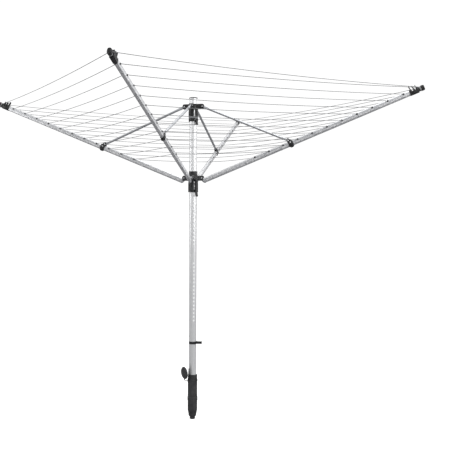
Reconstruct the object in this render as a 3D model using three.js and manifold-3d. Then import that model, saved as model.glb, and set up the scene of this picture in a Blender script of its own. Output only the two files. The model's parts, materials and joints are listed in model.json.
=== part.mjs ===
// Four-arm rotary clothesline: ground socket, two-piece mast, folding star and drying line.
// Millimetres, +Z up. The origin is the centre of the ground socket's flat foot, on the mast's axis.
// Arms 1 to 4 point along +X, +Y, -X and -Y. The star is open, with its line stretched.
import * as THREE from 'three';
import { mergeVertices } from 'three/addons/utils/BufferGeometryUtils.js';
import Module from 'manifold-3d';

const wasm = await Module();
wasm.setup();

// ---------------------------------------------------------------- driving dimensions

const rad = THREE.MathUtils.degToRad;
const GAP = 0.3; // between fixed pieces that touch
const PIN_R = 3;
const PIN_HOLE_R = 3.3;

// fold linkage: arm and strut are equally long between their pivots, so both hubs stay upright
const PIVOT_R = 62; // hub pivots from the mast's axis
const PIVOT_Z = 1645; // arm pivots on the lower hub
const ARM_TILT = rad(22);
const LINK_X = 625; // strut pin along the arm from the arm's pivot
const LINK_RISE = 6; // strut pin above the arm's pivot, square to the arm
const LINK = Math.hypot(LINK_X, LINK_RISE);
const LINK_TILT = ARM_TILT + Math.atan2(LINK_RISE, LINK_X);
const STRUT_Z = PIVOT_Z + 2 * LINK * Math.sin(LINK_TILT); // strut pivots on the upper hub

// arms: flat-oval tube, line holes near its upper edge
const ARM_WIDTH = 20;
const ARM_HEIGHT = 35;
const ARM_TOP = -2; // the tube's top below the arm's pivot
const ARM_MID = ARM_TOP - ARM_HEIGHT / 2;
const ARM_WALL = 1.4;
const ARM_START = 14;
const ARM_END = 1438;
const CAP_END = 1514;
const HOLE_Z = -11;
const HOLE_R = 4.3;
const HOLE_FIRST = 385;
const HOLE_PITCH = 100;
const HOLES_PER_ARM = 11;
const ROUNDS = HOLES_PER_ARM + 1; // the outermost round runs through the arm caps
const BOLT_X = 635;

// mast
const MAST_R = 25;
const MAST_WALL = 1.6;
const MAST_BORE = MAST_R - MAST_WALL;
const SOCKET_FLOOR = 26;
const MAST_FOOT_Z = SOCKET_FLOOR + GAP;
const MAST_JOINT_Z = 1138;
const MAST_TOP_Z = 2178;
const CAP_TOP_Z = 2185;
const HUB_BORE = MAST_R + 0.6;
const LADDER_AZ = rad(-58);
const LADDER_PITCH = 26;
const LADDER_LOW = 681;
const LADDER_HIGH = 1918;
const LADDER_HOLE_R = 5.6;
const JOINER_HALF = 40;

// ground socket
const SOCKET_TOP = 305;
const SOCKET_R = 33;
const SOCKET_SEAT_R = 31; // under the strap ring
const SOCKET_BORE = 26.8;
const LID_AZ = rad(-133);
const LID_HINGE_R = 64;
const LID_HINGE_Z = 280;
const LID_LEAN = 3; // degrees outwards

const LEVER_AZ = rad(-45);
const LEVER_R = 41;
const UPPER_LEVER_Z = 2035;
const LOWER_LEVER_Z = 1640;

const LINE_R = 1.6;

// ---------------------------------------------------------------- materials

const finish = (color, roughness, metalness) => ({ color, roughness, metalness });
const FINISHES = {
  arm_alloy: finish(0xb9bcc1, 0.38, 0.85),
  mast_alloy: finish(0xcfd1d4, 0.36, 0.85),
  steel: finish(0xa9abae, 0.3, 0.95),
  black_plastic: finish(0x17191c, 0.5, 0),
  grey_plastic: finish(0x777a7f, 0.55, 0),
  cap_plastic: finish(0x4a4c4f, 0.55, 0),
  socket_plastic: finish(0x343537, 0.62, 0),
  liner_plastic: finish(0xf2f3f4, 0.5, 0),
  line_cord: finish(0xc9cccf, 0.5, 0),
};

// ---------------------------------------------------------------- geometry helpers

/** A closed three.js geometry as a solid that can be joined and cut. */
function solid(geometry) {
  const bare = geometry.clone();
  bare.deleteAttribute('normal');
  bare.deleteAttribute('uv');
  const merged = mergeVertices(bare, 1e-4);
  const index = merged.index.array;
  const kept = [];
  for (let i = 0; i < index.length; i += 3) {
    const [a, b, c] = [index[i], index[i + 1], index[i + 2]];
    if (a !== b && b !== c && c !== a) kept.push(a, b, c);
  }
  const vertProperties = Float32Array.from(merged.attributes.position.array);
  const build = (tris) =>
    new wasm.Manifold(new wasm.Mesh({ numProp: 3, vertProperties, triVerts: Uint32Array.from(tris) }));
  const made = build(kept);
  return made.volume() > 0 ? made : build(kept.reverse());
}

/** A solid as a three.js geometry. */
function geometryOf(manifold) {
  const mesh = manifold.getMesh();
  const geometry = new THREE.BufferGeometry();
  geometry.setAttribute('position', new THREE.BufferAttribute(mesh.vertProperties, 3));
  geometry.setIndex(new THREE.BufferAttribute(mesh.triVerts, 1));
  return geometry;
}

const join = (first, ...rest) => rest.reduce((sum, next) => sum.add(next), first);
const cut = (first, ...rest) => rest.reduce((left, next) => left.subtract(next), first);

/** A body turned about Z from [radius, z] points, which start and end on the axis or form a ring. */
function turned(profile, segments = 24) {
  const ring = profile[0][0] > 0 ? [...profile, profile[0]] : profile;
  const points = ring.map(([r, z]) => new THREE.Vector2(r, z));
  return solid(new THREE.LatheGeometry(points, segments).rotateX(Math.PI / 2));
}

const tube = (outer, inner, low, high, segments = 28) =>
  turned([[inner, low], [outer, low], [outer, high], [inner, high]], segments);

/** A flat outline in X and Z, a Shape or a list of points, with its thickness centred on Y. */
function plate(outline, thickness, arcSides = 12) {
  const shape = Array.isArray(outline) ? new THREE.Shape(outline.map(([x, z]) => new THREE.Vector2(x, z))) : outline;
  const options = { depth: thickness, bevelEnabled: false, curveSegments: arcSides / 2 };
  const geometry = new THREE.ExtrudeGeometry(shape, options);
  return solid(geometry.translate(0, 0, -thickness / 2).rotateX(Math.PI / 2));
}

const disc = (x, z, radius) => new THREE.Shape().absarc(x, z, radius, 0, 2 * Math.PI, false);
const pinHole = (x, z, radius, depth = 80) => plate(disc(x, z, radius), depth, 10);

/** A cross-section in Y and Z, run along X from start to end. */
function run(shape, start, end, arcSides = 6) {
  const options = { depth: end - start, bevelEnabled: false, curveSegments: arcSides / 2 };
  const geometry = new THREE.ExtrudeGeometry(shape, options);
  const axes = new THREE.Matrix4().makeBasis(
    new THREE.Vector3(0, 1, 0), new THREE.Vector3(0, 0, 1), new THREE.Vector3(1, 0, 0));
  return solid(geometry.applyMatrix4(axes).translate(start, 0, 0));
}

/** An upright flat oval, centred on Y and on the given height. */
function oval(width, height, middle) {
  const r = width / 2;
  const half = height / 2 - r;
  return new THREE.Shape()
    .absarc(0, middle + half, r, 0, Math.PI, false)
    .absarc(0, middle - half, r, Math.PI, 2 * Math.PI, false);
}

const box = (x0, x1, y0, y1, z0, z1) =>
  solid(new THREE.BoxGeometry(x1 - x0, y1 - y0, z1 - z0).translate((x0 + x1) / 2, (y0 + y1) / 2, (z0 + z1) / 2));

const aboutZ = (manifold, angle) => manifold.rotate([0, 0, THREE.MathUtils.radToDeg(angle)]);

/** A headed pin along Y through a point in X and Z. */
function pin(x, z, radius, half, headRadius = radius + 1.8, head = 1.6) {
  const shaft = plate(disc(x, z, radius), 2 * half + head, 8);
  const ends = [-1, 1].map((side) =>
    plate(disc(x, z, headRadius), head, 8).translate([0, side * (half + head / 2), 0]));
  return join(shaft, ...ends);
}

// ---------------------------------------------------------------- the assembly

const clothesline = new THREE.Group();

function add(name, made, slot, parent = clothesline) {
  const material = new THREE.MeshStandardMaterial(FINISHES[slot]);
  const mesh = new THREE.Mesh(geometryOf(made), material);
  mesh.name = name;
  parent.add(mesh);
}

// ---------------------------------------------------------------- ground socket and lid

function groundSocket() {
  const body = turned([
    [0, 0], [16, 0], [18.5, 3], [18.5, 20], [24, 21], [27, 25], [27.5, 37], [32.4, 60], [SOCKET_R, 66],
    [SOCKET_R, 126], [34.8, 131], [34.8, 151], [SOCKET_R, 156], [SOCKET_R, 262], [SOCKET_SEAT_R, 262.5],
    [SOCKET_SEAT_R, 274.5], [32.5, 275], [32.5, SOCKET_TOP], [SOCKET_BORE, SOCKET_TOP],
    [SOCKET_BORE, 58], [18, SOCKET_FLOOR], [0, SOCKET_FLOOR],
  ]);
  const drains = [0, 1, 2].map((n) =>
    aboutZ(tube(3, 0.01, -2, 40, 8).hull().translate([8, 0, 0]), (n * 2 * Math.PI) / 3));
  return cut(body, ...drains);
}

/** Ring clipped under the socket's rim, with the strap's tongue that the lid hangs on. */
function strapRing() {
  const ring = tube(34.4, SOCKET_SEAT_R + 0.4, 263.3, 273.7);
  const tip = LID_HINGE_Z - 1.7;
  const tongue = plate([
    [33, 265], [47, 265], [58, 268], [LID_HINGE_R + 1.6, 273], [LID_HINGE_R + 1.6, tip],
    [LID_HINGE_R - 1.6, tip], [LID_HINGE_R - 1.6, 275], [57, 272], [47, 269], [33, 269],
  ], 12);
  return aboutZ(join(ring, tongue), LID_AZ);
}

/** Dished lid, standing open on its springy strap with its plug ring towards the mast. */
function lid() {
  const radius = 41;
  const middle = 44;
  const profile = [
    [0, -2], [24, -2], [24, -9], [26.4, -9], [26.4, -2], [radius - 4, -2], [radius, -4], [radius + 1, 0],
    [radius - 3, 3], [12, 5], [0, 5],
  ];
  const dish = turned(profile, 20).rotate([0, 90, 0]).translate([0, 0, middle]);
  const tab = plate([[-1.2, 0.5], [1.2, 0.5], [2.2, 8], [-1.2, 8]], 12);
  const placed = join(dish, tab).rotate([0, LID_LEAN, 0]).translate([LID_HINGE_R, 0, LID_HINGE_Z]);
  return aboutZ(placed, LID_AZ);
}

add('ground_socket', groundSocket(), 'socket_plastic');
add('strap_ring', strapRing(), 'socket_plastic');
add('lid', lid(), 'socket_plastic');

// ---------------------------------------------------------------- mast

const onLadder = (made) => aboutZ(made, LADDER_AZ);

/** One mast tube, with the ladder holes that lie inside its length. */
function mastTube(low, high) {
  let made = tube(MAST_R, MAST_BORE, low, high);
  for (let z = LADDER_LOW; z <= LADDER_HIGH; z += LADDER_PITCH) {
    const clearOfJoint = Math.abs(z - MAST_JOINT_Z) > JOINER_HALF + LADDER_HOLE_R + 4;
    if (z > low && z < high && clearOfJoint) {
      const hole = new THREE.CylinderGeometry(LADDER_HOLE_R, LADDER_HOLE_R, 14, 6).rotateZ(Math.PI / 2);
      made = made.subtract(onLadder(solid(hole.translate(MAST_R, 0, z))));
    }
  }
  return made;
}

/** Split sleeve inside the joint of the two tubes. Its slot lets the ladder liner through. */
function mastJoiner() {
  const sleeve = tube(MAST_BORE - GAP, 20.4, MAST_JOINT_Z - JOINER_HALF, MAST_JOINT_Z + JOINER_HALF);
  return cut(sleeve, onLadder(box(15, 30, -6.6, 6.6, MAST_JOINT_Z - 60, MAST_JOINT_Z + 60)));
}

const SNAP_Z = 571;
const SNAP_AZ = rad(-154);
const snapButton = (radius, inner, outer) => {
  const shape = new THREE.CylinderGeometry(radius, radius, outer - inner, 10).rotateZ(Math.PI / 2);
  return aboutZ(solid(shape.translate((inner + outer) / 2, 0, SNAP_Z)), SNAP_AZ);
};

/** Spring clip round the mast with a small ribbed tray that a peg bag hangs from. */
function pegBagHook() {
  const low = 519;
  const band = cut(tube(29, MAST_R + GAP, low, low + 17), box(-40, 0, -13, 13, low - 5, low + 30));
  const trayBottom = box(27, 63, -15, 15, low, low + 5);
  const rims = [box(27, 63, -15, -12, low, low + 13), box(27, 63, 12, 15, low, low + 13)];
  const lip = box(60, 63, -15, 15, low, low + 15);
  const gusset = plate([[28, low + 16.5], [28, low + 2], [46, low + 2]], 4);
  return aboutZ(cut(join(band, trayBottom, ...rims, lip, gusset), tube(MAST_R + GAP, 0.01, 500, 560).hull()), rad(16));
}

/** Flanged bush between socket and mast, with a grip tab that stands up along the mast. */
function mastBush() {
  const bore = MAST_R + 0.35;
  const sleeve = turned([
    [bore, 210], [SOCKET_BORE - 0.35, 210], [SOCKET_BORE - 0.35, SOCKET_TOP + GAP], [29.6, SOCKET_TOP + GAP],
    [29.6, SOCKET_TOP + 3], [bore, SOCKET_TOP + 3],
  ], 28);
  const wedge = plate([[20, SOCKET_TOP + 1], [29, SOCKET_TOP + 1], [28.6, SOCKET_TOP + 20], [27, SOCKET_TOP + 44],
    [20, SOCKET_TOP + 44]], 12);
  return join(sleeve, cut(aboutZ(wedge, SNAP_AZ), tube(bore, 0.01, SOCKET_TOP - 5, SOCKET_TOP + 60).hull()));
}

add('mast_bush', mastBush(), 'black_plastic');
add('mast_foot', turned([
  [0, MAST_FOOT_Z], [14, MAST_FOOT_Z], [24.6, MAST_FOOT_Z + 30], [24.6, MAST_FOOT_Z + 34],
  [MAST_BORE - GAP, MAST_FOOT_Z + 34], [MAST_BORE - GAP, MAST_FOOT_Z + 70], [20, MAST_FOOT_Z + 70],
  [20, MAST_FOOT_Z + 36], [0, MAST_FOOT_Z + 36],
]), 'black_plastic');
add('mast_lower_tube', cut(mastTube(MAST_FOOT_Z + 34 + GAP, MAST_JOINT_Z), snapButton(4.3, 18, 32)), 'mast_alloy');
add('mast_upper_tube', mastTube(MAST_JOINT_Z + GAP, MAST_TOP_Z), 'mast_alloy');
add('mast_joiner', mastJoiner(), 'steel');
add('ladder_liner', onLadder(box(20.8, 22.2, -5.9, 5.9, LADDER_LOW - 20, LADDER_HIGH + 20)), 'liner_plastic');
add('snap_button', snapButton(4, 17, 27), 'steel');
add('mast_cap', turned([
  [0, MAST_TOP_Z - 28], [MAST_BORE - GAP, MAST_TOP_Z - 28], [MAST_BORE - GAP, MAST_TOP_Z + GAP],
  [27, MAST_TOP_Z + GAP], [28.5, MAST_TOP_Z + 2], [28.5, CAP_TOP_Z - 2], [26, CAP_TOP_Z], [0, CAP_TOP_Z],
]), 'cap_plastic');
add('peg_bag_hook', pegBagHook(), 'black_plastic');

// ---------------------------------------------------------------- hubs

const EAR_HALF = 17;
const EAR_END = 12; // ear beyond its pivot
const CORE_R = 31;

/** Four pairs of ears at the pivot's height, with the given clear width between the two of a pair. */
function ears(pivotZ, clear, thickness) {
  const outline = new THREE.Shape();
  outline.moveTo(26, pivotZ - EAR_HALF);
  outline.lineTo(PIVOT_R, pivotZ - EAR_HALF);
  outline.quadraticCurveTo(PIVOT_R + EAR_END, pivotZ - EAR_HALF, PIVOT_R + EAR_END, pivotZ);
  outline.quadraticCurveTo(PIVOT_R + EAR_END, pivotZ + EAR_HALF, PIVOT_R, pivotZ + EAR_HALF);
  outline.lineTo(26, pivotZ + EAR_HALF);
  outline.closePath();
  const ear = plate(outline, thickness, 8);
  const offset = clear / 2 + thickness / 2;
  const pair = join(ear.translate([0, offset, 0]), ear.translate([0, -offset, 0]));
  const drilled = cut(pair, pinHole(PIVOT_R, pivotZ, PIN_HOLE_R));
  return [0, 1, 2, 3].map((k) => aboutZ(drilled, (k * Math.PI) / 2));
}

/** Two cheeks that carry a release lever's pin. */
function cheeks(z) {
  const outline = new THREE.Shape();
  outline.moveTo(27, z - 8);
  outline.lineTo(LEVER_R, z - 8);
  outline.absarc(LEVER_R, z, 8, -Math.PI / 2, Math.PI / 2, false);
  outline.lineTo(27, z + 8);
  outline.closePath();
  const cheek = plate(outline, 3, 6);
  const pair = join(cheek.translate([0, 8.5, 0]), cheek.translate([0, -8.5, 0]));
  return aboutZ(cut(pair, pinHole(LEVER_R, z, 2.8)), LEVER_AZ);
}

const shoeWindow = (z) => aboutZ(box(20, 36, -5.6, 5.6, z - 6.3, z + 6.3), LEVER_AZ);
const brakeShoe = (z) => aboutZ(box(MAST_R + 0.5, CORE_R - 0.2, -5.3, 5.3, z - 6, z + 6), LEVER_AZ);
const mastBore = tube(HUB_BORE, 0.01, 1400, 2300).hull();
const window = (half, low, high) => onLadder(box(20, 45, -half, half, low, high));

const ARM_EARS_CLEAR = ARM_WIDTH + 1.2;
const STRUT_EARS_CLEAR = 12.6;
const EAR_THICKNESS = 3.2;

function lowerHub() {
  const core = turned([
    [20, PIVOT_Z - 94], [31, PIVOT_Z - 94], [33, PIVOT_Z - 90], [33, PIVOT_Z - 30], [CORE_R, PIVOT_Z - EAR_HALF],
    [CORE_R, PIVOT_Z + EAR_HALF], [29, PIVOT_Z + EAR_HALF + 4], [28.5, PIVOT_Z + 46], [20, PIVOT_Z + 46],
  ], 28);
  const whole = join(core, ...ears(PIVOT_Z, ARM_EARS_CLEAR, EAR_THICKNESS), cheeks(LOWER_LEVER_Z));
  return cut(whole, mastBore, shoeWindow(LOWER_LEVER_Z), window(4.5, PIVOT_Z - 76, PIVOT_Z - 23));
}

function upperHub() {
  const core = turned([
    [20, 2053.3], [31.5, 2053.3], [32, 2058], [32, 2088], [CORE_R, STRUT_Z - EAR_HALF],
    [CORE_R, STRUT_Z + EAR_HALF], [20, STRUT_Z + EAR_HALF],
  ], 28);
  return cut(join(core, ...ears(STRUT_Z, STRUT_EARS_CLEAR, EAR_THICKNESS)), mastBore, window(5, 2059, STRUT_Z - EAR_HALF - 4));
}

function clampRing() {
  const ring = turned([[20, 2025], [31.5, 2025], [31.5, 2045], [20, 2045]], 28);
  return cut(join(ring, cheeks(UPPER_LEVER_Z)), mastBore, shoeWindow(UPPER_LEVER_Z));
}

/** Release lever: a round head on its pin and a shank that hangs beside the hub. */
function lever(z, shank) {
  const head = plate(disc(LEVER_R, z, 9), 13, 16);
  const grip = plate(shank.map(([x, dz]) => [LEVER_R + x, z + dz]), 13);
  return aboutZ(cut(join(head, grip), pinHole(LEVER_R, z, 2.8)), LEVER_AZ);
}

const leverPin = (z) => aboutZ(pin(LEVER_R, z, 2.5, 10.4), LEVER_AZ);

add('lower_hub', lowerHub(), 'black_plastic');
add('lower_brake_shoe', brakeShoe(LOWER_LEVER_Z), 'grey_plastic');
add('lower_lever', lever(LOWER_LEVER_Z, [
  [-6.5, -3], [-6.3, -60], [-3.5, -96], [2, -116], [6, -119], [13, -119], [15, -114], [9.5, -96], [6, -60],
  [7, -20], [8.6, -3],
]), 'black_plastic');
add('lower_lever_pin', leverPin(LOWER_LEVER_Z), 'steel');
add('upper_hub', upperHub(), 'black_plastic');
add('upper_hub_band', tube(31.8, HUB_BORE, 2045.3, 2053), 'grey_plastic');
add('upper_clamp_ring', clampRing(), 'black_plastic');
add('upper_brake_shoe', brakeShoe(UPPER_LEVER_Z), 'grey_plastic');
add('upper_lever', lever(UPPER_LEVER_Z, [
  [-6.5, -3], [-6.4, -14], [-3, -26], [2.5, -36], [10, -37], [13.5, -33], [9, -22], [7.5, -12], [8.6, -3],
]), 'black_plastic');
add('upper_lever_pin', leverPin(UPPER_LEVER_Z), 'steel');

// ---------------------------------------------------------------- arms and struts

/** Arm tube along +X from its pivot, drilled for the line and for the bracket's bolt. */
function armTube() {
  const section = oval(ARM_WIDTH, ARM_HEIGHT, ARM_MID);
  section.holes.push(oval(ARM_WIDTH - 2 * ARM_WALL, ARM_HEIGHT - 2 * ARM_WALL, ARM_MID));
  const holes = [pinHole(BOLT_X, HOLE_Z, PIN_HOLE_R)];
  for (let n = 0; n < HOLES_PER_ARM; n += 1) {
    holes.push(plate(disc(HOLE_FIRST + n * HOLE_PITCH, HOLE_Z, HOLE_R), 60, 6));
  }
  return cut(run(section, ARM_START, ARM_END), ...holes);
}

/** Cast end that plugs into the tube and turns on the hub's pin. */
function armRoot() {
  const plug = run(oval(ARM_WIDTH - 2 * ARM_WALL - 2 * GAP, ARM_HEIGHT - 2 * ARM_WALL - 2 * GAP, ARM_MID),
    ARM_START - 2, ARM_START + 45);
  const bottom = ARM_TOP - ARM_HEIGHT;
  const web = plate([[-9.2, -2], [-8, -14], [0, bottom + 6], [6, bottom], [ARM_START - GAP, bottom],
    [ARM_START - GAP, ARM_TOP], [8.6, 4], [-4, 6]], ARM_WIDTH - 1);
  const eye = plate(disc(0, 0, 9.5), ARM_WIDTH - 1, 16);
  return cut(join(plug, web, eye), pinHole(0, 0, PIN_HOLE_R));
}

const SLEEVE_START = 1422;
const GROOVE = [1477, 1494];
const FINS = [[1433, 25], [1452, 18], [1469, 15]];

/** Arm cap: sleeve over the tube's end, notched between three hook fins, the outermost line's groove, a nose. */
function armCap() {
  const sleeve = run(oval(ARM_WIDTH + 5, ARM_HEIGHT + 4, ARM_MID), SLEEVE_START, GROOVE[0]);
  const pocket = run(oval(ARM_WIDTH + 2 * GAP, ARM_HEIGHT + 2 * GAP, ARM_MID), SLEEVE_START - 10, ARM_END + GAP);
  const core = run(oval(15, 29, ARM_MID), GROOVE[0] - 1, GROOVE[1] + 1);
  const nose = run(oval(ARM_WIDTH + 4, ARM_HEIGHT + 1, ARM_MID), GROOVE[1], CAP_END - 4);
  const tip = run(oval(ARM_WIDTH, ARM_HEIGHT - 4, ARM_MID), CAP_END - 5, CAP_END);
  const fins = FINS.map(([x, rise]) => plate([
    [x - 2.5, -8], [x + 3.5, -8], [x - 1, rise - 9], [x - 1.5, rise], [x - 4, rise], [x - 6, rise - 8],
  ], 16));
  const notches = FINS.slice(1).map(([outer], n) => {
    const inner = FINS[n][0];
    return plate([[inner + 3.5, 3], [inner + 7, -14], [outer - 5, -14], [outer - 2.5, 3]], 60);
  });
  const lineHole = plate(disc(HOLE_FIRST + HOLES_PER_ARM * HOLE_PITCH, HOLE_Z, HOLE_R), 60, 8);
  return cut(join(cut(sleeve, ...notches), core, nose, tip, ...fins), pocket, lineHole);
}

/** Clamp round the arm with two ears for the strut's pin. */
function bracket() {
  const clamp = cut(
    run(oval(ARM_WIDTH + 5.4, ARM_HEIGHT + 5, ARM_MID), LINK_X - 6, LINK_X + 26),
    run(oval(ARM_WIDTH + 2 * GAP, ARM_HEIGHT + 2 * GAP, ARM_MID), LINK_X - 9, LINK_X + 29));
  const ear = plate([[LINK_X - 6, -14], [LINK_X + 24, -14], [LINK_X + 20, 0], [LINK_X + 10, 13], [LINK_X + 6, 20],
    [LINK_X - 3, 20], [LINK_X - 8, 14], [LINK_X - 9, 0]], 3.6);
  const bottom = ARM_TOP - ARM_HEIGHT;
  const lip = plate([[LINK_X - 3, bottom], [LINK_X + 23, bottom], [LINK_X + 19, bottom - 7.5],
    [LINK_X + 3, bottom - 7.5]], 13);
  const sides = [-1, 1].map((side) => ear.translate([0, side * 8.8, 0]));
  const strutRoom = join(box(LINK_X - 20, LINK_X + 14, -7, 7, -1.5, 30), box(LINK_X, LINK_X + 40, -9, 9, 1.2, 30));
  const insideArm = run(oval(ARM_WIDTH + 2 * GAP, ARM_HEIGHT + 2 * GAP, ARM_MID), LINK_X - 30, LINK_X + 50);
  return cut(join(clamp, lip, ...sides), strutRoom, insideArm, pinHole(LINK_X, LINK_RISE, PIN_HOLE_R),
    pinHole(BOLT_X, HOLE_Z, PIN_HOLE_R));
}

const STRUT_R = 8;
const STRUT_WALL = 1.2;
const STRUT_BAR = 11.4; // thickness of the pressed ends

/** Strut along +X from the upper hub to the bracket: a round tube with flat pressed eyes and a drain hole. */
function strut() {
  const bore = new THREE.Path().absarc(0, 0, STRUT_R - STRUT_WALL, 0, 2 * Math.PI, false);
  const section = new THREE.Shape().absarc(0, 0, STRUT_R, 0, 2 * Math.PI, false);
  section.holes.push(bore);
  const body = run(section, 26, LINK - 26, 10);
  const plug = new THREE.Shape().absarc(0, 0, STRUT_R - 0.6, 0, 2 * Math.PI, false);
  const hubEnd = join(plate(disc(0, 0, 9), STRUT_BAR, 16),
    plate([[0, -7.5], [30, -5.5], [30, 5.5], [0, 7.5]], STRUT_BAR), run(plug, 25, 44, 10));
  const pinEnd = join(plate(disc(LINK, 0, 6.6), STRUT_BAR, 16),
    plate([[LINK, -6], [LINK - 30, -5.5], [LINK - 30, 5.5], [LINK, 6]], STRUT_BAR), run(plug, LINK - 44, LINK - 25, 10));
  const drain = plate(disc(70, 0, 1.6), 12, 6).translate([0, 6, 0]);
  return cut(join(body, hubEnd, pinEnd), pinHole(0, 0, PIN_HOLE_R), pinHole(LINK, 0, PIN_HOLE_R), drain);
}

const ARM_PIECES = [
  ['arm_tube', armTube(), 'arm_alloy'],
  ['arm_root', armRoot(), 'arm_alloy'],
  ['arm_cap', armCap(), 'black_plastic'],
  ['bracket', bracket(), 'black_plastic'],
  ['bracket_bolt', pin(BOLT_X, HOLE_Z, PIN_R, 13.1, 5.5, 2.2), 'steel'],
  ['strut_pin', pin(LINK_X, LINK_RISE, PIN_R, 10.9, 6, 1.6), 'steel'],
];
const STRUT_PIECE = strut();
const LOWER_PIN = pin(PIVOT_R, PIVOT_Z, PIN_R, ARM_EARS_CLEAR / 2 + EAR_THICKNESS + 0.3, 5, 1.6);
const UPPER_PIN = pin(PIVOT_R, STRUT_Z, PIN_R, STRUT_EARS_CLEAR / 2 + EAR_THICKNESS + 0.3, 5, 1.6);

for (let k = 0; k < 4; k += 1) {
  const spoke = new THREE.Group();
  spoke.rotation.z = (k * Math.PI) / 2;
  clothesline.add(spoke);

  const arm = new THREE.Group();
  arm.position.set(PIVOT_R, 0, PIVOT_Z);
  arm.rotation.y = -ARM_TILT;
  spoke.add(arm);
  for (const [name, made, slot] of ARM_PIECES) add(`${name}_${k + 1}`, made, slot, arm);

  const strutGroup = new THREE.Group();
  strutGroup.position.set(PIVOT_R, 0, STRUT_Z);
  strutGroup.rotation.y = LINK_TILT;
  spoke.add(strutGroup);
  add(`strut_${k + 1}`, STRUT_PIECE, 'arm_alloy', strutGroup);

  add(`lower_hub_pin_${k + 1}`, LOWER_PIN, 'steel', spoke);
  add(`upper_hub_pin_${k + 1}`, UPPER_PIN, 'steel', spoke);
}

// ---------------------------------------------------------------- drying line

const LINE_REACH = 13.4; // the line runs straight through an arm this far each side of its middle

/** Where the line crosses arm k at the given distance along it, on the side -1 or +1. */
function crossing(k, along, side) {
  const out = PIVOT_R + along * Math.cos(ARM_TILT) - HOLE_Z * Math.sin(ARM_TILT);
  const up = PIVOT_Z + along * Math.sin(ARM_TILT) + HOLE_Z * Math.cos(ARM_TILT);
  return new THREE.Vector3(out, side * LINE_REACH, up).applyAxisAngle(new THREE.Vector3(0, 0, 1), (k * Math.PI) / 2);
}

/** The line's route: twelve rounds from the innermost holes outwards, one step out after each round. */
function lineRoute() {
  const points = [];
  for (let n = 0; n < ROUNDS; n += 1) {
    for (let k = 0; k < 4; k += 1) {
      const along = HOLE_FIRST + n * HOLE_PITCH;
      points.push(crossing(k, along, -1), crossing(k, along, 1));
    }
  }
  points.push(crossing(0, GROOVE[1] - 3.2, -1));
  return points;
}

/** A path through its points in order, with one section on each point, square to the bend there. */
class CornerPath extends THREE.Curve {
  constructor(points) {
    super();
    this.points = points;
  }

  getPointAt(t) {
    return this.points[Math.round(t * (this.points.length - 1))].clone();
  }

  getTangentAt(t) {
    const i = Math.round(t * (this.points.length - 1));
    const before = this.points[Math.max(i - 1, 0)];
    const here = this.points[i];
    const after = this.points[Math.min(i + 1, this.points.length - 1)];
    const arriving = here.clone().sub(before).normalize();
    return after.clone().sub(here).normalize().add(arriving).normalize();
  }
}

function dryingLine() {
  const route = lineRoute();
  const section = new THREE.Shape().absarc(0, 0, LINE_R, 0, 2 * Math.PI, false);
  return solid(new THREE.ExtrudeGeometry(section, {
    steps: route.length - 1, curveSegments: 3, extrudePath: new CornerPath(route),
  }));
}

add('drying_line', dryingLine(), 'line_cord');

export default clothesline;
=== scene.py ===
"""Rotary clothesline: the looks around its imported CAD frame. Metres, +Z up, in the row frame."""

import json
import math

import bmesh
import bpy
from mathutils import Matrix, Vector


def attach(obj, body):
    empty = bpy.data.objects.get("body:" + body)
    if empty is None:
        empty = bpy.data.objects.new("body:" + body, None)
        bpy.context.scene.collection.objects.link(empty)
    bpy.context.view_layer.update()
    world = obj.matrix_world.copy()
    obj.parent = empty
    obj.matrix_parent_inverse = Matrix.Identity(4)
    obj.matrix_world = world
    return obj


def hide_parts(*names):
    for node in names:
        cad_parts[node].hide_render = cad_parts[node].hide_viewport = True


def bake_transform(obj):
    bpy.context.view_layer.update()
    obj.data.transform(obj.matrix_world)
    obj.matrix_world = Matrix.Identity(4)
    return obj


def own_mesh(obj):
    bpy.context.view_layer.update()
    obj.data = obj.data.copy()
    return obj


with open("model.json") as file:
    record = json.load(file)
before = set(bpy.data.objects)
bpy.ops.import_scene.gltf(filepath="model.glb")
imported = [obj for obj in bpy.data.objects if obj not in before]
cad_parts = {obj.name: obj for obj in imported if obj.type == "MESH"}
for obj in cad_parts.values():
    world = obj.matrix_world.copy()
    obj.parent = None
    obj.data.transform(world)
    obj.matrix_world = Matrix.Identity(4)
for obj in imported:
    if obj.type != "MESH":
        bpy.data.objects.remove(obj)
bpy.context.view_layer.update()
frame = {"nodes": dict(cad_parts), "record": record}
NODES = frame["nodes"]

# ------------------------------------------------------------------ dimensions

STILL = Matrix.Identity(4)
ARMS = (1, 2, 3, 4)

PIVOT_R = 0.062
PIVOT_Z = 1.645
ARM_TILT = math.radians(22)
LINK_X = 0.625
LINK_RISE = 0.006
LINK = math.hypot(LINK_X, LINK_RISE)
LINK_TILT = ARM_TILT + math.atan2(LINK_RISE, LINK_X)
STRUT_Z = PIVOT_Z + 2 * LINK * math.sin(LINK_TILT)

# In an arm's own frame
ARM_WIDTH = 0.020
ARM_HEIGHT = 0.035
ARM_WALL = 0.0014
ARM_MID = -0.0195  # height of the tube's middle
ARM_START = 0.014
ARM_END = 1.438
HOLE_Z = -0.011
HOLE_FIRST = 0.385
HOLE_PITCH = 0.1
HOLES = 11
HOLE_R = 0.0043
BOLT_X = 0.635
BOLT_HOLE_R = 0.0033
GROOVE_X = 1.4905  # groove of the cap, which holds the outermost round of line
GROOVE_WIDTH = 0.015
GROOVE_HEIGHT = 0.029
LINE_END_X = GROOVE_X + 0.0003  # where the line leaves the cap of arm 1
LINE_R = 0.0016

PIN_R = 0.003
LEVER_PIN_R = 0.0025
STRUT_R = 0.008
HUB_EYE = 0.0088  # half-height of a strut's flat end at the upper hub
ARM_EYE = 0.0065  # and at the arm
EYE_HALF_WIDTH = 0.0057
EYE_LENGTH = 0.03  # of each flat end and of its blend into the round

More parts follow.
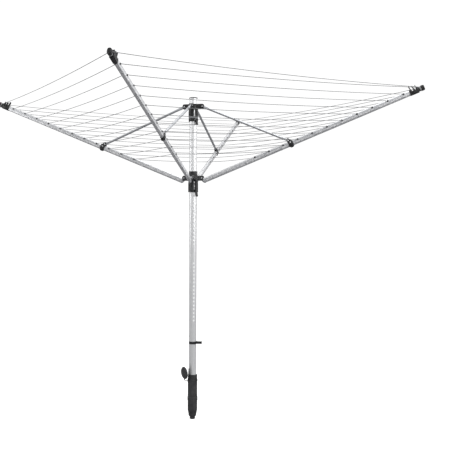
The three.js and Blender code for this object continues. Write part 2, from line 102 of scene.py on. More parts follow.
MAST_R = 0.025
MAST_BORE = 0.0234
MAST_SIDES = 144
MAST_CUT = (0.018, 0.032)  # a cutter's ends, inside the bore and outside the wall
FLUTES = (-0.62, -0.36, 0.36, 0.62, 1.7, -1.7, 2.6, -2.6)  # radians from the row of holes
FLUTE_DEPTH = 0.00055
FLUTE_SPREAD = 0.055
MAST_FOOT_Z = 0.0606
MAST_JOINT_Z = 1.138
MAST_TOP_Z = 2.178
JOINT_CLEAR = 0.0496  # no ladder hole is nearer to the joint
JOINT_GAP = 0.0003
LADDER_AZ = math.radians(-58)
LADDER_LOW = 0.681
LADDER_PITCH = 0.026
LADDER_HOLES = 48
LADDER_HOLE_R = 0.0056
SNAP_AZ = math.radians(-154)
SNAP_Z = 0.571
SNAP_HOLE_R = 0.0043

LEVER_AZ = math.radians(-45)
LEVER_REACH = 0.041
UPPER_LEVER_Z = 2.035
LOWER_LEVER_Z = 1.640

WALL_STEP = 0.012  # longest step between rows of points on the socket's wall
SOCKET_GRIP = (0.175, 0.247)
SOCKET_RIBS = (0.07, 0.122)
LID_AZ = math.radians(-133)
LID_HINGE = Vector((0.064, 0, 0.280))
LID_LEAN = math.radians(3)
LID_CENTRE = 0.044  # of the dish, from the hinge


def turn(angle, axis="Z"):
    """A rotation about an axis, in radians."""
    return Matrix.Rotation(angle, 4, axis)


def shift(x, y, z):
    """A move without a rotation."""
    return Matrix.Translation((x, y, z))


def spoke(k):
    """Row frame from the frame of arm k's vertical plane."""
    return turn((k - 1) * math.pi / 2)


def arm_frame(k):
    """Row frame from arm k's own frame: pivot at the origin, X along the arm."""
    return spoke(k) @ shift(PIVOT_R, 0, PIVOT_Z) @ turn(-ARM_TILT, "Y")


def strut_frame(k):
    """Row frame from strut k's own frame: upper pivot at the origin, X along the strut."""
    return spoke(k) @ shift(PIVOT_R, 0, STRUT_Z) @ turn(LINK_TILT, "Y")


ALONG_Y = turn(math.pi / 2, "X")  # lays the axis of a lathed part along Y

# ------------------------------------------------------------------ camera

CAMERA_DISTANCE = 4.7407
CAMERA_HEIGHT = 1.4802
CAMERA_TURN = math.radians(15.68)  # of the camera's side of the object, from -Y towards +X
CAMERA_YAW = math.radians(-0.243)
CAMERA_PITCH = math.radians(-2.649)
CAMERA_ROLL = math.radians(0.181)
CAMERA_LENS = 53.60
CAMERA_SHIFT = 0.0957  # keeps the mast left of the middle of the frame


def make_camera():
    """The camera of the photo, as fitted to the arms, their holes and the mast."""
    forward = Vector((
        math.sin(CAMERA_YAW) * math.cos(CAMERA_PITCH),
        math.cos(CAMERA_YAW) * math.cos(CAMERA_PITCH),
        math.sin(CAMERA_PITCH),
    ))
    level = Vector((math.cos(CAMERA_YAW), -math.sin(CAMERA_YAW), 0))
    above = level.cross(forward)
    right = level * math.cos(CAMERA_ROLL) + above * math.sin(CAMERA_ROLL)
    up = above * math.cos(CAMERA_ROLL) - level * math.sin(CAMERA_ROLL)
    data = bpy.data.cameras.new("camera")
    data.lens = CAMERA_LENS
    data.sensor_width = 36
    data.shift_x = CAMERA_SHIFT
    data.dof.use_dof = False
    camera = bpy.data.objects.new("camera", data)
    bpy.context.scene.collection.objects.link(camera)
    basis = Matrix((right, up, -forward)).transposed().to_4x4()
    camera.matrix_world = turn(CAMERA_TURN) @ shift(0, -CAMERA_DISTANCE, CAMERA_HEIGHT) @ basis
    bpy.context.scene.camera = camera


make_camera()

# ------------------------------------------------------------------ materials


def map_range(tree, value, low, high, to_low, to_high):
    """A value carried from one range to another, held at its ends."""
    ramp = tree.nodes.new("ShaderNodeMapRange")
    for name, number in (
        ("From Min", low), ("From Max", high), ("To Min", to_low), ("To Max", to_high),
    ):
        ramp.inputs[name].default_value = number
    tree.links.new(value, ramp.inputs["Value"])
    return ramp.outputs["Result"]


class Shader:
    """A material's node tree, with its Principled BSDF and the piece's own coordinates."""

    def __init__(self, name):
        self.material = bpy.data.materials.new(name)
        self.material.use_nodes = True
        self.tree = self.material.node_tree
        self.surface = self.tree.nodes["Principled BSDF"]
        self.coords = self.node("ShaderNodeTexCoord").outputs["Object"]

    def node(self, kind, **settings):
        """A new node with some of its settings changed."""
        made = self.tree.nodes.new(kind)
        for key, value in settings.items():
            setattr(made, key, value)
        return made

    def link(self, source, target):
        """Leads an output into an input."""
        self.tree.links.new(source, target)

    def stretched(self, scale):
        """The piece's coordinates, scaled along each axis."""
        mapping = self.node("ShaderNodeMapping")
        mapping.inputs["Scale"].default_value = scale
        self.link(self.coords, mapping.inputs["Vector"])
        return mapping.outputs["Vector"]

    def noise(self, scale, detail=3.0, roughness=0.55, vector=None):
        """Soft noise, by default over the piece's own coordinates."""
        made = self.node("ShaderNodeTexNoise")
        made.inputs["Scale"].default_value = scale
        made.inputs["Detail"].default_value = detail
        made.inputs["Roughness"].default_value = roughness
        self.link(vector or self.coords, made.inputs["Vector"])
        return made.outputs["Fac"]

    def remap(self, value, low, high, to_low=0.0, to_high=1.0):
        """A value carried from one range to another, by default to 0 and 1."""
        return map_range(self.tree, value, low, high, to_low, to_high)

    def mix(self, factor, first, second):
        """Colours, or colour outputs, blended by factor."""
        made = self.node("ShaderNodeMix", data_type="RGBA")
        self.link(factor, made.inputs["Factor"])
        for socket, colour in ((made.inputs[6], first), (made.inputs[7], second)):
            if isinstance(colour, tuple):
                socket.default_value = (*colour, 1)
            else:
                self.link(colour, socket)
        return made.outputs[2]

    def product(self, first, second):
        """Two values multiplied."""
        made = self.node("ShaderNodeMath", operation="MULTIPLY")
        self.link(first, made.inputs[0])
        self.link(second, made.inputs[1])
        return made.outputs[0]

    def bump(self, height, distance, strength=1.0, under=None):
        """A normal raised by height, over another bump if there is one."""
        made = self.node("ShaderNodeBump")
        made.inputs["Distance"].default_value = distance
        made.inputs["Strength"].default_value = strength
        self.link(height, made.inputs["Height"])
        if under:
            self.link(under, made.inputs["Normal"])
        return made.outputs["Normal"]

    def edges(self, low, high):
        """1 on worn outer edges, broken up by noise."""
        pointiness = self.node("ShaderNodeNewGeometry").outputs["Pointiness"]
        return self.product(self.remap(pointiness, low, high), self.remap(self.noise(160), 0.4, 0.62))


def drawn_metal(name, dark, light, along, rough=(0.3, 0.46), metallic=0.9):
    """Drawn tube: fine streaks along one axis, soft stains, small pits and rubbed edges."""
    s = Shader(name)
    lengthwise = {"X": (1.2, 260, 260), "Z": (260, 260, 1.2)}[along]
    streaks = s.noise(1.0, 4.0, 0.6, s.stretched(lengthwise))
    stains = s.noise(7.0, 5.0, 0.6)
    pits = s.remap(s.noise(420.0, 2.0), 0.68, 0.76)
    body = s.mix(s.remap(streaks, 0.32, 0.68), dark, light)
    stained = s.mix(s.remap(stains, 0.52, 0.78, 0.0, 0.16), body, (0.36, 0.36, 0.35))
    pitted = s.mix(s.product(pits, s.remap(stains, 0.4, 0.7, 0.0, 0.35)), stained, (0.25, 0.25, 0.25))
    worn = s.mix(s.edges(0.53, 0.6), pitted, (0.9, 0.9, 0.91))
    s.link(worn, s.surface.inputs["Base Color"])
    s.surface.inputs["Metallic"].default_value = metallic
    s.link(s.remap(streaks, 0.3, 0.7, *rough), s.surface.inputs["Roughness"])
    fine = s.bump(streaks, 0.00008, 0.35)
    s.link(s.bump(stains, 0.0003, 0.1, fine), s.surface.inputs["Normal"])
    return s.material


def moulded(name, colour, rough=(0.36, 0.52), grain=1400.0, scuff=(0.16, 0.165, 0.17), gloss=0.4,
            glow=0.0):
    """Moulded plastic: fine grain, uneven tone, flow marks and paler rubbed edges.

    A glow is painted light: an emission that stands in for the light that a thin white strip passes on
    from behind.
    """
    s = Shader(name)
    cloud = s.noise(26.0, 4.0)
    fine = s.noise(grain, 2.0)
    pale = tuple(min(1.0, c * 1.5 + 0.006) for c in colour)
    deep = tuple(c * 0.72 for c in colour)
    body = s.mix(s.remap(cloud, 0.35, 0.68), deep, pale)
    dusty = s.mix(s.remap(s.noise(9.0, 6.0, 0.7), 0.55, 0.8, 0.0, 0.16), body, scuff)
    worn = s.mix(s.edges(0.535, 0.62), dusty, scuff)
    s.link(worn, s.surface.inputs["Base Color"])
    s.link(s.remap(cloud, 0.3, 0.7, *rough), s.surface.inputs["Roughness"])
    s.surface.inputs["Specular IOR Level"].default_value = gloss
    s.surface.inputs["Emission Color"].default_value = (1, 1, 1, 1)
    s.surface.inputs["Emission Strength"].default_value = glow
    s.link(s.bump(cloud, 0.0006, 0.15, s.bump(fine, 0.00015, 0.6)), s.surface.inputs["Normal"])
    return s.material


def plated(name):
    """Zinc-plated steel: mottled grey with small bright scratches."""
    s = Shader(name)
    mottle = s.noise(240.0, 4.0, 0.65)
    scratches = s.remap(s.noise(1.0, 3.0, 0.5, s.stretched((900, 120, 900))), 0.62, 0.7)
    body = s.mix(s.remap(mottle, 0.35, 0.65), (0.42, 0.43, 0.44), (0.72, 0.73, 0.74))
    s.link(s.mix(scratches, body, (0.88, 0.88, 0.88)), s.surface.inputs["Base Color"])
    s.surface.inputs["Metallic"].default_value = 0.92
    s.link(s.remap(mottle, 0.3, 0.7, 0.24, 0.42), s.surface.inputs["Roughness"])
    s.link(s.bump(mottle, 0.0002, 0.4), s.surface.inputs["Normal"])
    return s.material


def coated_line(name, fresh, weathered):
    """Plastic-coated line: a smooth skin that shows the strands below it, weathered in patches."""
    s = Shader(name)
    wave = s.node("ShaderNodeTexWave", wave_type="BANDS", bands_direction="DIAGONAL")
    wave.inputs["Scale"].default_value = 150.0
    wave.inputs["Distortion"].default_value = 1.5
    s.link(s.coords, wave.inputs["Vector"])
    patches = s.noise(5.0, 4.0)
    tone = s.mix(s.remap(patches, 0.35, 0.7), fresh, weathered)
    marked = s.mix(s.remap(s.noise(300.0, 2.0), 0.6, 0.75, 0.0, 0.3), tone, (0.2, 0.2, 0.2))
    s.link(marked, s.surface.inputs["Base Color"])
    s.link(s.remap(patches, 0.3, 0.7, 0.35, 0.55), s.surface.inputs["Roughness"])
    s.link(s.bump(wave.outputs["Fac"], 0.0003, 0.35), s.surface.inputs["Normal"])
    return s.material


MATERIALS = {
    "arm_alloy": drawn_metal("arm_alloy", (0.4, 0.41, 0.43), (0.56, 0.57, 0.59), "X"),
    "mast_alloy": drawn_metal("mast_alloy", (0.78, 0.79, 0.8), (0.92, 0.93, 0.94), "Z", metallic=0.75),
    "steel": plated("steel"),
    "black_plastic": moulded("black_plastic", (0.0035, 0.0038, 0.0045), (0.34, 0.5),
                             scuff=(0.07, 0.072, 0.075)),
    "grey_plastic": moulded("grey_plastic", (0.18, 0.185, 0.195), scuff=(0.4, 0.4, 0.41)),
    "cap_plastic": moulded("cap_plastic", (0.07, 0.072, 0.075), scuff=(0.3, 0.3, 0.3)),
    "socket_plastic": moulded("socket_plastic", (0.032, 0.032, 0.034), (0.45, 0.62), 900.0),
    # The liner's glow is painted light, an emission that brightens the white strip seen through the
    # mast's holes.
    "liner_plastic": moulded("liner_plastic", (0.9, 0.905, 0.91), scuff=(0.97, 0.97, 0.97), glow=0.3),
    # The spans' dark grey is painted shade: the line itself is near-white, and this darker copy stands
    # in for the shade it shows.
    "line_cord": coated_line("line_cord", (0.2, 0.205, 0.21), (0.14, 0.145, 0.15)),
}

SLOT_OF = {part["node"]: part["material_slot"] for part in frame["record"]["subparts"]}
for node_name, node in NODES.items():
    node.data.materials.clear()
    node.data.materials.append(MATERIALS[SLOT_OF[node_name]])

# ------------------------------------------------------------------ mesh helpers


def circle(radius, segments):
    """Points (across, up) of a circle."""
    angles = [2 * math.pi * i / segments for i in range(segments)]
    return [(radius * math.cos(a), radius * math.sin(a)) for a in angles]


def fillet(points, radius, steps=3, closed=True):
    """A polyline with its corners rounded."""
    points = [Vector(p) for p in points]
    made = []
    for i, corner in enumerate(points):
        if not closed and i in (0, len(points) - 1):
            made.append(corner)
            continue
        before = points[i - 1] - corner
        after = points[(i + 1) % len(points)] - corner
        start = corner + before.normalized() * min(radius, 0.45 * before.length)
        end = corner + after.normalized() * min(radius, 0.45 * after.length)
        for step in range(steps + 1):
            t = step / steps
            made.append(start * (1 - t) ** 2 + corner * 2 * t * (1 - t) + end * t * t)
    return made


def loft(rings, closed_path=False, caps=True):
    """A skin over rings of equally many points."""
    bm = bmesh.new()
    made = [[bm.verts.new(p) for p in ring] for ring in rings]
    pairs = list(zip(made, made[1:]))
    if closed_path:
        pairs.append((made[-1], made[0]))
    for low, high in pairs:
        for i in range(len(low)):
            j = (i + 1) % len(low)
            bm.faces.new((low[i], low[j], high[j], high[i]))
    if caps and not closed_path:
        bm.faces.new(made[0][::-1])
        bm.faces.new(made[-1])
    bmesh.ops.recalc_face_normals(bm, faces=bm.faces)
    return bm


def lathe(profile, segments=64, shape=None):
    """A body turned about Z from (radius, z) points. shape(radius, z, angle) may change a radius."""
    bm = bmesh.new()
    rings = []
    for radius, z in profile:
        if radius < 1e-6:
            rings.append([bm.verts.new((0, 0, z))])
            continue
        ring = []
        for i in range(segments):
            angle = 2 * math.pi * i / segments
            r = shape(radius, z, angle) if shape else radius
            ring.append(bm.verts.new((r * math.cos(angle), r * math.sin(angle), z)))
        rings.append(ring)
    pairs = list(zip(rings, rings[1:]))
    if len(rings[0]) > 1:
        pairs.append((rings[-1], rings[0]))
    for low, high in pairs:
        for i in range(segments):
            j = (i + 1) % segments
            face = [low[i % len(low)], low[j % len(low)], high[j % len(high)], high[i % len(high)]]
            face = list(dict.fromkeys(face))
            if len(face) > 2:
                bm.faces.new(face)
    bmesh.ops.recalc_face_normals(bm, faces=bm.faces)
    return bm


def bevel_edges(bm, width, angle=30.0, segments=2):
    """Rounds the edges that turn by more than an angle."""
    sharp = [e for e in bm.edges if e.is_manifold and e.calc_face_angle(0) > math.radians(angle)]
    bmesh.ops.bevel(
        bm, geom=sharp, offset=width, segments=segments, profile=0.5, affect="EDGES", clamp_overlap=True
    )


def block(size, centre, bevel=0.0006):
    """A box with rounded edges."""
    bm = bmesh.new()
    bmesh.ops.create_cube(bm, size=1)
    bmesh.ops.scale(bm, vec=size, verts=bm.verts)
    bmesh.ops.translate(bm, vec=centre, verts=bm.verts)
    bevel_edges(bm, bevel)
    return bm


def joined(shapes):
    """One shape from several that are already in place."""
    return merged([(shape, STILL) for shape in shapes])


def merged(parts):
    """Several bmeshes, each with its own matrix, as one."""
    whole = bmesh.new()
    for bm, matrix in parts:
        bm.transform(matrix)
        piece = bpy.data.meshes.new("part")
        bm.to_mesh(piece)
        bm.free()
        whole.from_mesh(piece)
        bpy.data.meshes.remove(piece)
    return whole


def to_mesh(name, bm, smooth=35.0):
    """A smooth-shaded mesh that keeps the edges sharper than an angle."""
    mesh = bpy.data.meshes.new(name)
    bm.to_mesh(mesh)
    bm.free()
    mesh.shade_smooth()
    mesh.set_sharp_from_angle(angle=math.radians(smooth))
    return mesh


def place(name, mesh, matrix, body, slot, *nodes):
    """A mesh as a piece that rides on a body and stands for the CAD nodes."""
    piece = bpy.data.objects.new(name, mesh)
    bpy.context.scene.collection.objects.link(piece)
    piece.matrix_world = matrix
    if not mesh.materials:
        mesh.materials.append(MATERIALS[slot])
    if body:
        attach(piece, body)
    if nodes:
        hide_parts(*nodes)
    return piece


def carved(mesh, cutter, smooth=35.0):
    """The mesh less the cutter's volume."""
    target = bpy.data.objects.new("target", mesh)
    tool = bpy.data.objects.new("tool", to_mesh("tool", cutter))
    for obj in (target, tool):
        bpy.context.scene.collection.objects.link(obj)
    modifier = target.modifiers.new("cut", "BOOLEAN")
    modifier.operation = "DIFFERENCE"
    modifier.solver = "EXACT"
    modifier.object = tool
    evaluated = target.evaluated_get(bpy.context.evaluated_depsgraph_get())
    result = bpy.data.meshes.new_from_object(evaluated)
    result.name = mesh.name
    for obj in (target, tool):
        bpy.data.objects.remove(obj)
    result.shade_smooth()
    result.set_sharp_from_angle(angle=math.radians(smooth))
    return result


def rounded_node(node_name, width, back=STILL, segments=2):
    """A CAD node's shape, in the frame that back leads to, with its edges rounded."""
    bm = bmesh.new()
    bm.from_mesh(NODES[node_name].data)
    bm.transform(back)
    bmesh.ops.remove_doubles(bm, verts=bm.verts, dist=2e-6)
    bmesh.ops.dissolve_limit(bm, angle_limit=math.radians(0.6), verts=bm.verts, edges=bm.edges)
    bevel_edges(bm, width, segments=segments)
    return bm


def bar_through_arm(x, z, radius):
    """A round bar along Y, used to cut a hole through an arm."""
    rings = []
    for y in (-ARM_WIDTH, ARM_WIDTH):
        rings.append([Vector((x + across, y, z + up)) for across, up in circle(radius, 20)])
    return loft(rings)


def bar_into_mast(z, radius, segments):
    """A round bar along X, used to cut a hole in one side of the mast."""
    rings = []
    for x in MAST_CUT:
        rings.append([Vector((x, across, z + up)) for across, up in circle(radius, segments)])
    return loft(rings)


def oval(width, height, middle, arc=12):
    """Points (y, z) of an upright flat oval."""
    r = width / 2
    half = height / 2 - r
    points = []
    for centre, start in ((middle + half, 0.0), (middle - half, math.pi)):
        for i in range(arc + 1):
            angle = start + math.pi * i / arc
            points.append((r * math.cos(angle), centre + r * math.sin(angle)))
    return points


# ------------------------------------------------------------------ ground socket and lid


def socket_shape(radius, z, angle):
    """Grip flutes below the rim and soft ribs on the lower body."""
    outside = radius > 0.03
    if outside and SOCKET_GRIP[0] < z < SOCKET_GRIP[1]:
        return radius - 0.0008 * max(0.0, math.cos(12 * angle)) ** 2
    if outside and SOCKET_RIBS[0] < z < SOCKET_RIBS[1]:
        return radius - 0.0006 * max(0.0, math.cos(8 * angle)) ** 6
    return radius


def build_socket():
    """The tapered ground socket, with enough rows of points on its wall for the soft ribs."""
    outer = fillet([
        (0.0, 0.0), (0.016, 0.0), (0.0184, 0.003), (0.0184, 0.0195), (0.024, 0.021), (0.0268, 0.025),
        (0.0274, 0.037), (0.0322, 0.060), (0.033, 0.067), (0.033, 0.126), (0.0347, 0.131),
        (0.0347, 0.151), (0.033, 0.156), (0.033, 0.170), (0.0325, 0.172), (0.0325, 0.250),
        (0.033, 0.252), (0.033, 0.262), (0.031, 0.2626), (0.031, 0.2746), (0.0323, 0.275),
        (0.0323, 0.286), (0.0316, 0.287), (0.0316, 0.289), (0.0323, 0.290), (0.0323, 0.305),
        (0.0268, 0.305), (0.0268, 0.058), (0.018, 0.026), (0.0, 0.026),
    ], 0.0012, 3, closed=False)
    fine = []
    for before, after in zip(outer, outer[1:]):
        steps = max(1, round((after - before).length / WALL_STEP))
        fine += [before.lerp(after, i / steps) for i in range(steps)]
    fine.append(outer[-1])
    bm = lathe(fine, 96, socket_shape)
    place("socket_body", to_mesh("socket_body", bm, 40), STILL, "ground", "socket_plastic",
          "ground_socket")


def build_lid():
    """The open lid, the ring round the socket that holds it and the strap between them."""
    profile = fillet([
        (0.0, -0.002), (0.024, -0.002), (0.024, -0.009), (0.0264, -0.009), (0.0264, -0.002),
        (0.036, -0.002), (0.0415, -0.004), (0.042, 0.0), (0.039, 0.003), (0.034, 0.0036),
        (0.0335, 0.003), (0.032, 0.003), (0.0315, 0.0038), (0.014, 0.0049), (0.0135, 0.0043),
        (0.012, 0.0043), (0.0115, 0.005), (0.0, 0.005),
    ], 0.0006, 2, closed=False)
    lean = shift(*LID_HINGE) @ turn(LID_LEAN, "Y")
    matrix = turn(LID_AZ) @ lean @ shift(0, 0, LID_CENTRE) @ turn(math.pi / 2, "Y")
    grip = block((0.004, 0.03, 0.0026), (0, 0, 0.0042), 0.0008)
    bm = joined([lathe(profile, 72), grip])
    place("lid_dish", to_mesh("lid_dish", bm), matrix, "lid", "socket_plastic", "lid")

    ring = lathe(fillet([
        (0.0345, 0.2633), (0.0345, 0.2737), (0.0314, 0.2737), (0.0314, 0.2633),
    ], 0.0008, 3), 72)
    place("strap_collar", to_mesh("strap_collar", ring), STILL, "ground", "socket_plastic",
          "strap_ring")
    build_lid_strap(lean)


def build_lid_strap(lean):
    """The flexible strap from the ring to the lid, which thins and narrows on its way."""
    end = lean @ Vector((0.0, 0, 0.0075))
    route = fillet([
        Vector((0.0325, 0, 0.267)), Vector((0.047, 0, 0.267)), Vector((0.0585, 0, 0.2698)),
        Vector((0.0637, 0, 0.2745)), LID_HINGE, end,
    ], 0.006, 6, closed=False)
    side = Vector((0, 1, 0))
    rings = []
    for i, point in enumerate(route):
        ahead = route[min(i + 1, len(route) - 1)] - route[max(i - 1, 0)]
        out = side.cross(ahead.normalized())
        share = i / (len(route) - 1)
        half = 0.0062 - 0.0022 * math.sin(math.pi * share)
        thick = 0.0019 - 0.0008 * share
        rings.append([
            point + side * half - out * thick, point + side * (half - 0.0008) + out * thick,
            point - side * (half - 0.0008) + out * thick, point - side * half - out * thick,
        ])
    band = loft(rings)
    bevel_edges(band, 0.0003, 50)
    strap = place("lid_strap", to_mesh("lid_strap", band, 50), turn(LID_AZ), None, "socket_plastic")
    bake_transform(strap)


# ------------------------------------------------------------------ mast


def from_ladder(angle):
    """How far an azimuth is from the row of holes, between -pi and pi."""
    return (angle - LADDER_AZ + math.pi) % (2 * math.pi) - math.pi


def mast_radius(angle):
    """Round tube with shallow flutes either side of the row of holes and round the back."""
    away = from_ladder(angle)
    depth = 0.0
    for flute in FLUTES:
        depth += FLUTE_DEPTH * math.exp(-(((away - flute) / FLUTE_SPREAD) ** 2))
    return MAST_R - depth


def mast_tube(name, low, high, holes, snap=False):
    """A length of mast with its ladder holes, and with the snap button's hole if asked."""
    rings = []
    for inside, z in ((False, low), (False, high), (True, high), (True, low)):
        ring = []
        for i in range(MAST_SIDES):
            angle = 2 * math.pi * i / MAST_SIDES
            r = MAST_BORE if inside else mast_radius(angle)
            ring.append(Vector((r * math.cos(angle), r * math.sin(angle), z)))
        rings.append(ring)
    mesh = to_mesh(name, loft(rings, closed_path=True), 40)
    cutters = [(bar_into_mast(z, LADDER_HOLE_R, 24), turn(LADDER_AZ)) for z in holes]
    if snap:
        cutters.append((bar_into_mast(SNAP_Z, SNAP_HOLE_R, 20), turn(SNAP_AZ)))
    return carved(mesh, merged(cutters), 40)


def build_mast():
    """The mast's two tubes and the small parts on them."""
    ladder = [LADDER_LOW + LADDER_PITCH * i for i in range(LADDER_HOLES)]
    low_holes = [z for z in ladder if z < MAST_JOINT_Z - JOINT_CLEAR]
    high_holes = [z for z in ladder if z > MAST_JOINT_Z + JOINT_CLEAR]
    lower = mast_tube("mast_tube_low", MAST_FOOT_Z, MAST_JOINT_Z, low_holes, snap=True)
    upper = mast_tube("mast_tube_high", MAST_JOINT_Z + JOINT_GAP, MAST_TOP_Z, high_holes)
    place("mast_tube_low", lower, STILL, "mast", "mast_alloy", "mast_lower_tube")
    place("mast_tube_high", upper, STILL, "mast", "mast_alloy", "mast_upper_tube")

    cap = lathe(fillet([
        (0.0, 2.150), (0.0231, 2.150), (0.0231, 2.1783), (0.027, 2.1783), (0.0285, 2.180),
        (0.0285, 2.183), (0.026, 2.185), (0.0165, 2.185), (0.016, 2.1844), (0.0, 2.1844),
    ], 0.0007, 3, closed=False), 72)
    place("mast_top_cap", to_mesh("mast_top_cap", cap), STILL, "mast", "cap_plastic", "mast_cap")

    button = lathe(fillet([
        (0.0, 0.017), (0.004, 0.017), (0.004, 0.0262), (0.0028, 0.027), (0.0, 0.027),
    ], 0.0005, 3, closed=False), 32)
    matrix = shift(0, 0, SNAP_Z) @ turn(SNAP_AZ) @ turn(math.pi / 2, "Y")
    place("button", to_mesh("button", button), matrix, "snap_button", "steel", "snap_button")

    bush = rounded_node("mast_bush", 0.0005)
    place("bush", to_mesh("bush", bush), STILL, "ground", "black_plastic", "mast_bush")
    hook = rounded_node("peg_bag_hook", 0.0008)
    place("peg_hook", to_mesh("peg_hook", hook), STILL, "mast", "black_plastic", "peg_bag_hook")


# ------------------------------------------------------------------ hubs

RIB_STEP = math.pi / 8
RIB_GAP = 0.3  # radians either side of the row of holes that stay free of ribs
EAR_GAP = 0.1  # and either side of an ear of the upper hub


def rivet(radius, half, head_radius, dome):
    """A headed pin along Y with domed ends and a turned recess in each."""
    profile = [(0.0, -half - dome * 0.62)]
    profile += [(head_radius * 0.38, -half - dome * 0.62), (head_radius * 0.46, -half - dome)]
    profile += [(head_radius * 0.8, -half - dome * 0.82), (head_radius, -half - dome * 0.2)]
    profile += [(head_radius, -half), (radius, -half)]
    mirrored = [(r, -z) for r, z in reversed(profile)]
    return lathe(fillet(profile + mirrored, 0.0003, 2, closed=False), 28)


def hub_parts():
    """The two hubs' rounded CAD shapes with grip ribs, but none beside the row of holes."""
    lower = [(rounded_node("lower_hub", 0.0008), STILL)]
    upper = [(rounded_node("upper_hub", 0.0008), STILL)]
    for i in range(16):
        angle = RIB_STEP / 2 + i * RIB_STEP
        if abs(from_ladder(angle)) <= RIB_GAP:
            continue
        rib = block((0.0022, 0.0024, 0.054), (0.0325, 0, PIVOT_Z - 0.062), 0.0007)
        lower.append((rib, turn(angle)))
        if EAR_GAP < (i * RIB_STEP) % (math.pi / 2) < math.pi / 2 - EAR_GAP:
            rib = block((0.0018, 0.0022, 0.03), (0.0318, 0, 2.0735), 0.0006)
            upper.append((rib, turn(i * RIB_STEP)))
    bead = fillet([(0.0262, 1.6885), (0.0292, 1.6885), (0.0292, 1.6908), (0.0262, 1.6908)], 0.0006, 3)
    lower.append((lathe(bead, 72), STILL))
    foot = fillet([(0.0262, 1.5512), (0.0338, 1.5512), (0.0338, 1.556), (0.0262, 1.556)], 0.0009, 3)
    lower.append((lathe(foot, 72), STILL))
    return lower, upper


def build_hubs():
    """Both hubs, and the clamp ring and band under the upper one."""
    lower, upper = hub_parts()
    place("hub_low", to_mesh("hub_low", merged(lower)), STILL, "lower", "black_plastic", "lower_hub")
    place("hub_high", to_mesh("hub_high", merged(upper)), STILL, "upper", "black_plastic", "upper_hub")

    ring = rounded_node("upper_clamp_ring", 0.0007)
    place("clamp_ring", to_mesh("clamp_ring", ring), STILL, "upper", "black_plastic",
          "upper_clamp_ring")
    band = lathe(fillet([
        (0.0257, 2.0453), (0.0318, 2.0453), (0.0318, 2.053), (0.0257, 2.053),
    ], 0.0008, 3), 72)
    place("hub_band", to_mesh("hub_band", band), STILL, "upper", "grey_plastic", "upper_hub_band")


def build_levers():
    """The two clamp levers, which stay apart from their hubs because they move."""
    for name, node in (("lever_high", "upper_lever"), ("lever_low", "lower_lever")):
        bm = rounded_node(node, 0.0018, turn(-LEVER_AZ), segments=3)
        place(name, to_mesh(name, bm), turn(LEVER_AZ), node, "black_plastic", node)
    pin = to_mesh("lever_pin", rivet(LEVER_PIN_R, 0.0104, 0.0043, 0.0014))
    for name, z, body in (
        ("lever_pin_high", UPPER_LEVER_Z, "upper"), ("lever_pin_low", LOWER_LEVER_Z, "lower"),
    ):
        matrix = turn(LEVER_AZ) @ shift(LEVER_REACH, 0, z) @ ALONG_Y
        place(name, pin, matrix, body, "steel", f"{body}_lever_pin")


def build_hub_pins():
    """The pins that the arms and the struts turn on at the hubs."""
    low_pin = to_mesh("low_pin", rivet(PIN_R, 0.0141, 0.005, 0.0016))
    high_pin = to_mesh("high_pin", rivet(PIN_R, 0.0098, 0.005, 0.0016))
    for k in ARMS:
        for name, mesh, z, body in (
            ("low", low_pin, PIVOT_Z, "lower"), ("high", high_pin, STRUT_Z, "upper"),
        ):
            matrix = spoke(k) @ shift(PIVOT_R, 0, z) @ ALONG_Y
            place(f"{name}_pin_{k}", mesh, matrix, body, "steel", f"{body}_hub_pin_{k}")


# ------------------------------------------------------------------ arms and struts


def arm_section(inset):
    """Points (y, z) of the arm's flat oval."""
    r = ARM_WIDTH / 2 - inset
    half = (ARM_HEIGHT - ARM_WIDTH) / 2
    points = []
    for sign, start in ((1, 0.0), (-1, math.pi)):
        for i in range(15):
            angle = start + math.pi * i / 14
            points.append((r * math.cos(angle), ARM_MID + sign * half + r * math.sin(angle)))
        # Points near both ends of a flat side keep the shading between them even
        for height in (0.9, -0.9):
            points.append((-sign * r, ARM_MID + sign * height * half))
    return points


def hole_x(n):
    """Distance of line hole n along an arm."""
    return HOLE_FIRST + n * HOLE_PITCH


def build_arm_tube():
    """The hollow arm with its line holes and the hole for the bracket's bolt."""
    rings = []
    for inset, x in (
        (0.0, ARM_START), (0.0, ARM_END), (ARM_WALL, ARM_END), (ARM_WALL, ARM_START),
    ):
        rings.append([Vector((x, y, z)) for y, z in arm_section(inset)])
    mesh = to_mesh("arm_profile", loft(rings, closed_path=True), 40)
    cutters = [bar_through_arm(BOLT_X, HOLE_Z, BOLT_HOLE_R)]
    for n in range(HOLES):
        cutters.append(bar_through_arm(hole_x(n), HOLE_Z, HOLE_R))
    return carved(mesh, joined(cutters), 40)


def build_eyelets():
    """A flanged bush in each side of every line hole."""
    parts = []
    for n in range(HOLES):
        for side in (-1, 1):
            profile = fillet([
                (0.0022, 0.0065), (0.0041, 0.0065), (0.0041, 0.0101), (0.0062, 0.0101),
                (0.0062, 0.0109), (0.005, 0.0118), (0.003, 0.0118), (0.0022, 0.0109),
            ], 0.0003, 2)
            matrix = shift(hole_x(n), 0, HOLE_Z) @ turn(-side * math.pi / 2, "X")
            parts.append((lathe(profile, 28), matrix))
    return to_mesh("eyelets", merged(parts))


def strut_eye(x):
    """Half-height of the flat end that is nearer to x."""
    return HUB_EYE if x < LINK / 2 else ARM_EYE


def strut_section(x):
    """Half-width across the pin, half-height and roundness of the strut at x."""
    from_hub = min(1.0, max(0.0, (x - EYE_LENGTH) / EYE_LENGTH))
    from_pin = min(1.0, max(0.0, (LINK - EYE_LENGTH - x) / EYE_LENGTH))
    round_share = min(from_hub, from_pin)
    round_share = round_share * round_share * (3 - 2 * round_share)
    flat_height = strut_eye(x)
    half_width = EYE_HALF_WIDTH + (STRUT_R - EYE_HALF_WIDTH) * round_share
    half_height = flat_height + (STRUT_R - flat_height) * round_share
    return half_width, half_height, round_share


